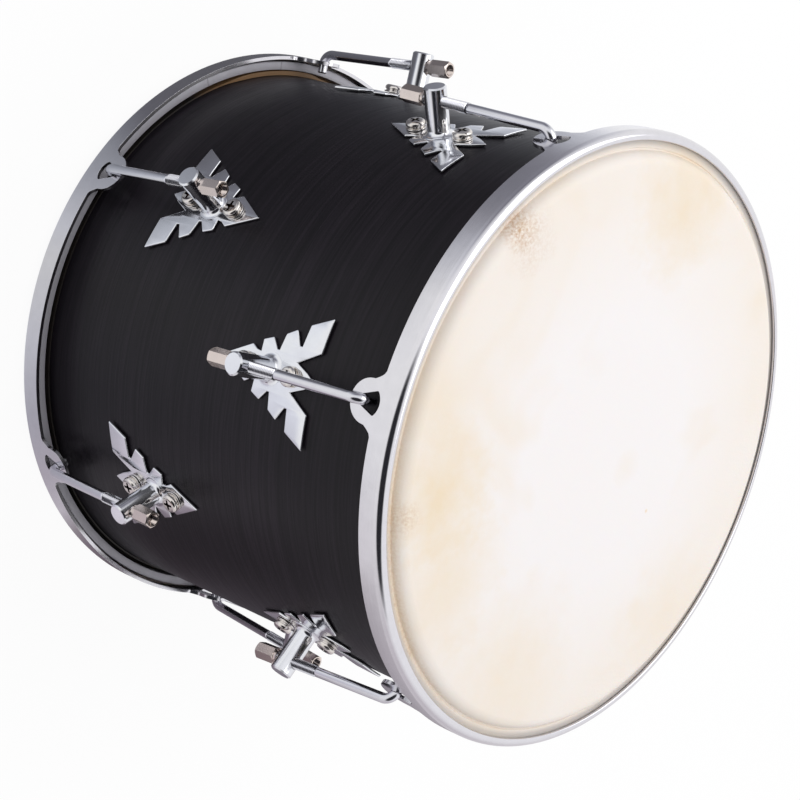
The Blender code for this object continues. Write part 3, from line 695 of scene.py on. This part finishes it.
class DRUM_OT_hoops(bpy.types.Operator):
    """Add the counter hoops with their ears"""

    bl_idname = "drum.hoops"
    bl_label = "Counter hoops"

    def execute(self, context):
        size = sizes()
        thick = size.hoop_thickness
        roll = size.hoop_roll
        inner = HOOP_R - thick
        flange = HOOP_R - size.hoop_flange
        section = arc(flange + 0.0008, -0.0008, 0.0008, 180, 90, 4)
        section += arc(HOOP_R - roll, -roll, roll, 90, 0, 16)
        below = EAR_TIP_Z - 0.0005
        section += [(HOOP_R, -roll - 0.0004), (HOOP_R, below), (inner, below)]
        section += arc(HOOP_R - roll, -roll, roll - thick, 0, 90, 8)
        section += arc(flange + 0.0008, -thick + 0.0008, 0.0008, 270, 180, 4)
        # The facets of the two rings stay clear of each other and of the ears.
        step = math.tau / RING_STEPS
        band = moved(spun(section), Matrix.Rotation(0.37 * step, 4, "Z"))
        wide, narrow = HOOP_R + 0.004, inner - 0.004
        ring = [(narrow, -size.hoop_band), (wide, -size.hoop_band)]
        ring += [(wide, EAR_TIP_Z - 0.002), (narrow, EAR_TIP_Z - 0.002)]
        turns = [Matrix.Rotation(math.tau * lug / 6, 4, "Z") for lug in range(6)]
        ears = [moved(radial(ear_outline(), narrow - 0.004, wide + 0.004), turn) for turn in turns]
        waste = boolean(moved(spun(ring), Matrix.Rotation(0.71 * step, 4, "Z")), ears, "DIFFERENCE")
        holes = [moved(radial(ear_hole_outline(), narrow + 0.001, wide - 0.001), turn) for turn in turns]
        shape = boolean(band, [waste] + holes, "DIFFERENCE")
        mesh = as_mesh("hoop", shape)
        finish = metal_finish("hoop_steel", colours().hoop, 0.13)
        for head in HEADS:
            body = f"{head}_hoop"
            place = lug_place(head, 1) @ Matrix.Rotation(HOOP_TURN, 4, "Z")
            made = piece(f"{head}_counter_hoop", mesh, place, finish, body, [body])
            edge = made.modifiers.new("Edges", "BEVEL")
            edge.width = 0.00035
            edge.segments = 2
            edge.limit_method = "ANGLE"
            edge.angle_limit = math.radians(50)
        return {"FINISHED"}


def plate_outline():
    """A lug's plate as (height, side) points about its post, with feathered wings."""
    apex, wing, span = 0.0338, 0.0308, 0.0328
    below = [(0.45, 0.294), (0.345, 0.235), (0.255, 0.223), (0.27, 0.405), (0.09, 0.483)]
    above = [
        (0.045, 0.325), (0.10, 0.325), (0.145, 0.585), (0.34, 0.690), (0.49, 0.475), (0.55, 0.475),
        (0.585, 0.815), (1.0, 1.0), (0.99, 0.465), (0.55, 0.225), (0.82, 0.120),
    ]
    half = [(-apex * z, span * side) for z, side in below]
    half += [(wing * z, span * side) for z, side in above]
    other = [(z, -side) for z, side in reversed(half)]
    return [(-apex, 0.0)] + half + [(wing * 1.03, 0.0)] + other


def rod_line():
    """The rod's line in the head frame: its origin in the post, z towards the hoop."""
    side = ROD_ALONG.cross(EAR_OUTWARD).normalized()
    turn = Matrix((side.cross(ROD_ALONG), side, ROD_ALONG)).transposed()
    return Matrix.Translation((ROD_HOLE_X, 0, LUG_Z)) @ turn.to_4x4()


class DRUM_OT_lugs(bpy.types.Operator):
    """Add the lugs, each a plate with its post"""

    bl_idname = "drum.lugs"
    bl_label = "Lugs"

    def execute(self, context):
        size = sizes()
        under = SHELL_R + 0.0003
        top = under + size.plate_thickness
        plate = radial(plate_outline(), under, top)
        for side in range(-15, 16, 2):
            every = plate.verts[:] + plate.edges[:] + plate.faces[:]
            bmesh.ops.bisect_plane(plate, geom=every, plane_co=(0, 0.002 * side, 0), plane_no=(0, 1, 0))
        plate = softened(plate, 0.0005, segments=3)
        for corner in plate.verts:
            corner.co.x -= 0.0029 * (corner.co.y / 0.0328) ** 2
        moved(plate, Matrix.Translation((0, 0, LUG_Z)))
        low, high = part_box("top_lug_1")
        post_top = high.x
        radius = size.post_radius
        profile = [(0.0, post_top), (radius - 0.0008, post_top), (radius, post_top - 0.0008)]
        profile += arc(radius + 0.0028, top + 0.0028, 0.0028, 180, 270, 8)
        profile += [(radius + 0.0028, under + 0.0005), (0.0, under + 0.0005)]
        post = spun(profile, 48, closed=False)
        moved(post, Matrix.Translation((0, 0, LUG_Z)) @ Matrix.Rotation(math.pi / 2, 4, "Y"))
        shape = boolean(plate, [post], "UNION")
        bore = moved(rod(size.thread_radius + 0.0003, -0.012, 0.012), rod_line())
        shape = boolean(shape, [bore], "DIFFERENCE")
        mesh = as_mesh("lug", shape)
        finish = metal_finish("lug_chrome", colours().chrome, 0.12)
        for head in HEADS:
            for index in LUGS:
                name = f"{head}_lug_{index}"
                place = lug_place(head, index)
                piece(f"{name}_casting", mesh, place, finish, "drum", [name])
        return {"FINISHED"}


def screw_shapes():
    """A screw, its spring washer and its flat washer, along Z from the plate's face."""
    base = 0.0019
    flat = softened(spun([(0.0027, 0.0), (0.0027, 0.0008), (0.0053, 0.0008), (0.0053, 0.0)], 40), 0.0001)
    spring = spun([(0.0027, 0.0008), (0.0027, base), (0.0045, base), (0.0045, 0.0008)], 40)
    slit = bmesh.new()
    bmesh.ops.create_cube(slit, size=1.0)
    moved(slit, Matrix.Translation((0.0036, 0, 0.00135)) @ Matrix.Diagonal((0.004, 0.0004, 0.004, 1)))
    spring = boolean(spring, [slit], "DIFFERENCE")
    top = base + 0.0026
    head = [(0.0, top), (0.0016, top - 0.00005)] + arc(0.0033, top - 0.0020, 0.0019, 85, 0, 8)
    head += [(0.0052, base + 0.0002), (0.0050, base), (0.0025, base), (0.0025, -0.012), (0.0, -0.012)]
    screw = spun(head, 40, closed=False)
    arms = []
    for turn in (0, math.pi / 2):
        arm = bmesh.new()
        bmesh.ops.create_cube(arm, size=1.0)
        place = Matrix.Rotation(turn, 4, "Z") @ Matrix.Translation((0, 0, top))
        arms.append(moved(arm, place @ Matrix.Diagonal((0.0060, 0.0014, 0.0030, 1))))
    pit = spun([(0.0, top + 0.001), (0.0016, top + 0.001), (0.0012, top - 0.0016), (0.0, top - 0.0024)], 8, False)
    screw = boolean(screw, arms + [pit], "DIFFERENCE")
    return {"screw": screw, "spring_washer": spring, "flat_washer": flat}


class DRUM_OT_screws(bpy.types.Operator):
    """Add the screws and washers of the lugs, and the strips inside the shell"""

    bl_idname = "drum.screws"
    bl_label = "Lug screws"

    def execute(self, context):
        size = sizes()
        face = SHELL_R + 0.0003 + size.plate_thickness + 0.0003
        finish = metal_finish("screw_nickel", colours().screw, 0.16)
        meshes = {name: as_mesh(name, shape) for name, shape in screw_shapes().items()}
        # Marks the vertices of the cross-shaped hollow, which the finish paints dark as shade.
        recess_shade = meshes["screw"].attributes.new("recess_shade", "FLOAT", "POINT")
        for corner, shade in zip(meshes["screw"].vertices, recess_shade.data):
            shade.value = float(0.0019 < corner.co.z < 0.0039 and math.hypot(*corner.co.xy) < 0.0032)
        spacing = 0.0322
        inner = SHELL_R - size.shell_wall
        strip_face = math.sqrt(inner**2 - 0.006**2) - 0.0003
        strip = bmesh.new()
        bmesh.ops.create_cube(strip, size=1.0)
        middle = Matrix.Translation((strip_face - 0.001, 0, LUG_Z))
        moved(strip, middle @ Matrix.Diagonal((0.002, 0.012, spacing + 0.014, 1)))
        strip = softened(strip, 0.0004)
        ends = [
            moved(rod(0.0025, -0.0135, -0.006), self.screw_line(face, height))
            for height in (LUG_Z - spacing / 2, LUG_Z + spacing / 2)
        ]
        strip_mesh = as_mesh("strip", boolean(strip, ends, "UNION"))
        for head in HEADS:
            for index in LUGS:
                place = lug_place(head, index)
                node = f"{head}_lug_screws_{index}"
                piece(f"{node}_strip", strip_mesh, place, finish, "drum", [node])
                for order, height in enumerate((LUG_Z + spacing / 2, LUG_Z - spacing / 2), start=1):
                    line = place @ self.screw_line(face, height)
                    for name, mesh in meshes.items():
                        label = f"{head}_lug_{index}_{name}_{order}"
                        piece(label, mesh, line, finish, "drum", [node])
        return {"FINISHED"}

    def screw_line(self, face, height):
        """The line of a screw in the head frame, from the plate's face outwards."""
        return Matrix.Translation((face, 0, height)) @ Matrix.Rotation(math.pi / 2, 4, "Y")


class DRUM_OT_rods(bpy.types.Operator):
    """Add the hook rods"""

    bl_idname = "drum.rods"
    bl_label = "Hook rods"

    def execute(self, context):
        size = sizes()
        radius = size.rod_radius
        bend = 0.0060
        hook_x = HOOP_R + 0.0015 + radius
        hook_z = EAR_TIP_Z + size.ear_tip_wall + HOOK_CLEARANCE + radius
        inner = HOOP_R - size.hoop_thickness
        post = Vector((ROD_HOLE_X, 0.0, LUG_Z))
        reach = (EAR_OUTWARD * inner + Vector((0.0, 0.0, hook_z)) - post).dot(ROD_ALONG)
        drop = hook_x - inner + 0.005
        thread_end = -size.post_radius - 0.0105
        thread_top = thread_end + 0.039
        shape = bmesh.new()
        made = bmesh.ops.create_circle(shape, cap_ends=True, segments=32, radius=radius - 0.0003)
        bmesh.ops.translate(shape, verts=made["verts"], vec=(0, 0, thread_top - 0.0013))
        stations = [(0.0, thread_top - 0.0007, 0.0, 1.13), (0.0, thread_top, 0.0, 1.0)]
        stations += [(0.0, reach - bend, 0.0, 1.0)]
        stations += [
            (x, z, math.degrees(math.atan2(z - reach + bend, x + bend)), 1.0)
            for x, z in arc(-bend, reach - bend, bend, 6, 90, 14)
        ]
        stations += [(-drop + 0.0007, reach, 90.0, 1.0), (-drop + 0.0002, reach, 90.0, 0.88)]
        stations += [(-drop, reach, 90.0, 0.8)]
        face = shape.faces[:][0]
        x_before, z_before, turn_before = 0.0, thread_top - 0.0013, 0.0
        for count, (x, z, turn, spread) in enumerate(stations):
            raised = bmesh.ops.extrude_face_region(shape, geom=[face])
            if count:
                shape.faces.remove(face)
            face = [item for item in raised["geom"] if isinstance(item, bmesh.types.BMFace)][0]
            spin = Matrix.Rotation(-math.radians(turn - turn_before), 4, "Y")
            move = Matrix.Translation((x, 0, z)) @ spin @ Matrix.Translation((-x_before, 0, -z_before))
            bmesh.ops.transform(shape, matrix=move, verts=face.verts)
            if spread != 1.0:
                centre = Matrix.Translation((x, 0, z))
                bmesh.ops.transform(
                    shape, matrix=centre @ Matrix.Scale(spread, 4) @ centre.inverted(), verts=face.verts
                )
            x_before, z_before, turn_before = x, z, turn
        bmesh.ops.recalc_face_normals(shape, faces=shape.faces)
        thread = self.thread(size.thread_radius, size.thread_pitch, thread_end, thread_top)
        scratch = bpy.data.meshes.new("thread")
        thread.to_mesh(scratch)
        thread.free()
        shape.from_mesh(scratch)
        bpy.data.meshes.remove(scratch)
        mesh = as_mesh("rod", shape)
        finish = metal_finish("rod_chrome", colours().rod, 0.14)
        for head in HEADS:
            for index in LUGS:
                body = f"{head}_hook_rod_{index}"
                place = lug_place(head, index) @ rod_line()
                piece(f"{body}_steel", mesh, place, finish, body, [body])
        return {"FINISHED"}

    def thread(self, radius, pitch, start, end):
        """A screw thread, closed at both ends."""
        root = radius - 0.6 * pitch
        shape = bmesh.new()
        profile = [(root, start), (radius, start + pitch * 0.45), (radius, start + pitch * 0.55), (root, start + pitch)]
        points = [shape.verts.new((x, 0.0, z)) for x, z in profile]
        edges = [shape.edges.new(pair) for pair in zip(points, points[1:])]
        turns = int((end - start) / pitch) - 1
        bmesh.ops.spin(
            shape, geom=points + edges, cent=(0, 0, 0), axis=(0, 0, 1), dvec=(0, 0, pitch / 20),
            angle=math.tau * turns, steps=20 * turns, use_merge=False, use_duplicate=False,
        )
        bmesh.ops.remove_doubles(shape, verts=shape.verts, dist=2e-5)
        for corner in shape.verts:
            across = math.hypot(corner.co.x, corner.co.y)
            limit = root + 0.00005 + 0.5 * min(corner.co.z - start, end - corner.co.z)
            if across > limit:
                corner.co.xy *= limit / across
        rims = [edge for edge in shape.edges if len(edge.link_faces) == 1]
        bmesh.ops.holes_fill(shape, edges=rims, sides=0)
        bmesh.ops.recalc_face_normals(shape, faces=shape.faces)
        return shape


class DRUM_OT_nuts(bpy.types.Operator):
    """Add the tuning nuts"""

    bl_idname = "drum.nuts"
    bl_label = "Tuning nuts"

    def execute(self, context):
        size = sizes()
        corner = size.nut_flats / math.sqrt(3)
        nose_start = -size.post_radius - 0.0003
        start = nose_start - 0.0016
        end = start - size.nut_length
        shape = bmesh.new()
        bmesh.ops.create_cone(
            shape, cap_ends=True, segments=6, radius1=corner, radius2=corner, depth=size.nut_length
        )
        bmesh.ops.translate(shape, verts=shape.verts, vec=(0, 0, (start + end) / 2))
        cone = [(0.0, start), (0.0040, start), (corner + 0.0003, start - 0.0007)]
        cone += [(corner + 0.0003, end + 0.0009), (0.0038, end), (0.0, end)]
        shape = boolean(shape, [spun(cone, 64, closed=False)], "INTERSECT")
        shape = boolean(shape, [rod(0.0038, start - 0.002, nose_start, 48)], "UNION")
        bore = [(0.0, nose_start + 0.001), (0.0033, nose_start + 0.001), (0.0033, end + 0.0038)]
        bore += [(0.0026 + 0.0005 * (step % 2), end + 0.0036 - 0.0005 * step) for step in range(7)]
        bore += [(0.0032, end - 0.0001), (0.0032, end - 0.001), (0.0, end - 0.001)]
        shape = boolean(shape, [spun(bore, 40, closed=False)], "DIFFERENCE")
        mesh = as_mesh("nut", shape)
        finish = metal_finish("nut_nickel", colours().nickel, 0.17)
        for head in HEADS:
            for index in LUGS:
                body = f"{head}_tuning_nut_{index}"
                turn = Matrix.Rotation(math.radians(NUT_TURNS[head][index - 1]), 4, "Z")
                place = lug_place(head, index) @ rod_line() @ turn
                piece(f"{body}_hex", mesh, place, finish, body, [body])
        return {"FINISHED"}


class DRUM_OT_stage(bpy.types.Operator):
    """Add the camera, the lights and the floor"""

    bl_idname = "drum.stage"
    bl_label = "Stage"

    def execute(self, context):
        scene = context.scene
        camera = bpy.data.objects.new("Camera", bpy.data.cameras.new("Camera"))
        scene.collection.objects.link(camera)
        camera.data.sensor_width = 36.0
        camera.data.lens = 88.9
        right = Vector((-0.63869, -0.25611, 0.72559))
        up = Vector((0.09944, -0.96255, -0.25222))
        back = right.cross(up)
        axes = Matrix((right, up, back)).transposed().to_4x4()
        camera.matrix_world = Matrix.Translation((0.8443, -0.0872, 0.8448)) @ axes
        camera.data.clip_end = 20
        scene.camera = camera
        self.floor()
        self.world(scene)
        self.lamp("Key", (-0.47, -1.00, 2.21), 2.3, 21)
        scene.view_settings.view_transform = "Standard"
        return {"FINISHED"}

    def lamp(self, name, place, size, power):
        """A square soft light aimed at the drum."""
        data = bpy.data.lights.new(name, "AREA")
        data.shape = "SQUARE"
        data.size = size
        data.energy = power
        lamp = bpy.data.objects.new(name, data)
        bpy.context.scene.collection.objects.link(lamp)
        aim = Vector((0, 0, 0.14)) - Vector(place)
        lamp.matrix_world = Matrix.Translation(place) @ aim.to_track_quat("-Z", "Y").to_matrix().to_4x4()

    def around(self, made, place):
        """What the metal sees low down on each side of the studio, darkest towards one side; on the floor it is painted
        shade.
        """
        wall = made.facing(made.flat(place), (0.174, -0.985, 0.0))
        return made.ramp(made.span(wall, -1.0, 1.0), (
            (0.0, (0.66, 0.62, 0.66)), (0.08, (0.72, 0.69, 0.72)), (0.16, (0.82, 0.80, 0.82)),
            (0.33, (0.93, 0.92, 0.93)), (0.46, (1.0, 1.0, 1.0)), (0.84, (1.0, 1.0, 1.0)),
            (0.90, (0.78, 0.79, 0.83)), (0.945, (0.55, 0.56, 0.61)), (0.98, (0.28, 0.28, 0.32)),
            (1.0, (0.20, 0.20, 0.24)),
        ))

    def floor(self):
        """A pale floor that keeps the drum's shadow, and that the metal sees as a painted pool of light with painted
        shade around it.
        """
        shape = bmesh.new()
        bmesh.ops.create_grid(shape, x_segments=1, y_segments=1, size=4.0)
        floor = solid("floor", as_mesh("floor", shape))
        made = Finish("floor", 0.9)
        made.shader.inputs["Base Color"].default_value = (0.96, 0.96, 0.96, 1.0)
        made.shader.inputs["Specular IOR Level"].default_value = 0.0
        side = made.span(made.facing(made.flat(made.place), (0.375, -0.927, 0.0)), -1.0, 1.0)
        # Painted light and shade, seen only in reflections: bright on some sides of the drum, dark on others.
        near = made.ramp(side, (
            (0.0, (0.18, 0.155, 0.19)), (0.03, (0.21, 0.17, 0.21)), (0.07, (0.15, 0.115, 0.145)),
            (0.13, (0.16, 0.125, 0.155)), (0.18, (0.26, 0.21, 0.255)), (0.215, (0.40, 0.35, 0.39)),
            (0.265, (0.80, 0.75, 0.82)), (0.345, (0.66, 0.61, 0.69)), (0.46, (0.62, 0.61, 0.69)),
            (0.60, (0.87, 0.88, 0.95)), (0.74, (0.98, 0.99, 1.0)), (0.79, (0.90, 0.92, 0.98)),
            (0.86, (0.54, 0.56, 0.62)), (0.90, (0.40, 0.42, 0.47)), (0.93, (0.24, 0.25, 0.29)),
            (0.955, (0.14, 0.14, 0.17)), (1.0, (0.11, 0.11, 0.13)),
        ))
        reach = made.length(made.place)
        # Painted shade: darker near the drum's foot, seen only in reflections.
        foot_shade = made.add("ShaderNodeVectorMath", operation="SCALE")
        made.join(near, foot_shade.inputs[0])
        made.join(made.span(reach, 0.18, 0.26, 0.75, 1.0), foot_shade.inputs["Scale"])
        seen = made.mix(made.span(reach, 0.39, 0.49), foot_shade.outputs["Vector"], self.around(made, made.place))
        path = made.add("ShaderNodeLightPath").outputs
        white = made.add("ShaderNodeEmission")
        made.join(made.mix(path["Is Camera Ray"], seen, (1.0, 1.0, 1.0)), white.inputs["Color"])
        share = made.sum(made.sum(path["Is Camera Ray"], path["Is Glossy Ray"], "MAXIMUM"), 0.93, "MULTIPLY")
        mix = made.add("ShaderNodeMixShader")
        made.join(share, mix.inputs["Fac"])
        made.join(made.shader.outputs["BSDF"], mix.inputs[1])
        made.join(white.outputs["Emission"], mix.inputs[2])
        made.join(mix.outputs["Shader"], made.tree.nodes["Material Output"].inputs["Surface"])
        floor.data.materials.append(made.material)

    def world(self, scene):
        """A bright studio with one dark opening, around the camera."""
        world = bpy.data.worlds.new("studio")
        world.use_nodes = True
        made = Nodes(world.node_tree)
        place = made.add("ShaderNodeTexCoord").outputs["Generated"]
        split = made.add("ShaderNodeSeparateXYZ")
        made.join(place, split.inputs["Vector"])
        high = made.span(split.outputs["Z"], 0.05, 0.62)
        colour = made.mix(high, self.around(made, place), (1.0, 1.0, 1.02))
        dark = made.span(made.facing(place, (0.668, 0.418, 0.616)), 0.74, 0.87)
        colour = made.mix(dark, colour, (0.02, 0.02, 0.025))
        path = made.add("ShaderNodeLightPath").outputs
        colour = made.mix(path["Is Camera Ray"], colour, (1.0, 1.0, 1.0))
        seen = made.sum(path["Is Camera Ray"], path["Is Glossy Ray"], "MAXIMUM")
        colour = made.mix(seen, (0.77, 0.765, 0.785), colour)
        made.join(colour, made.tree.nodes["Background"].inputs["Color"])
        scene.world = world


OPERATORS = (
    DRUM_OT_stage, DRUM_OT_shell, DRUM_OT_skins, DRUM_OT_flesh_hoops, DRUM_OT_hoops,
    DRUM_OT_lugs, DRUM_OT_screws, DRUM_OT_rods, DRUM_OT_nuts,
)


class DRUM_PT_panel(bpy.types.Panel):
    """The drum's sizes, colours and steps"""

    bl_idname = "DRUM_PT_panel"
    bl_label = "Repinique"
    bl_space_type = "VIEW_3D"
    bl_region_type = "UI"
    bl_category = "Drum"

    def draw(self, context):
        for step in OPERATORS:
            self.layout.operator(step.bl_idname)
        for group in (context.scene.drum_sizes, context.scene.drum_colours):
            for name in group.bl_rna.properties.keys():
                if name not in ("rna_type", "name"):
                    self.layout.prop(group, name)


CLASSES = (DrumSizes, DrumColours, *OPERATORS, DRUM_PT_panel)


def register():
    """Register the classes and the scene's settings."""
    for item in CLASSES:
        bpy.utils.register_class(item)
    bpy.types.Scene.drum_sizes = PointerProperty(type=DrumSizes)
    bpy.types.Scene.drum_colours = PointerProperty(type=DrumColours)


def unregister():
    """Take the classes and the scene's settings away."""
    del bpy.types.Scene.drum_sizes
    del bpy.types.Scene.drum_colours
    for item in reversed(CLASSES):
        bpy.utils.unregister_class(item)


def main():
    """Build the whole scene."""
    register()
    bpy.ops.drum.stage()
    bpy.ops.drum.shell()
    bpy.ops.drum.skins()
    bpy.ops.drum.flesh_hoops()
    bpy.ops.drum.hoops()
    bpy.ops.drum.lugs()
    bpy.ops.drum.screws()
    bpy.ops.drum.rods()
    bpy.ops.drum.nuts()
    bpy.context.view_layer.update()


if __name__ == "__main__":
    main()
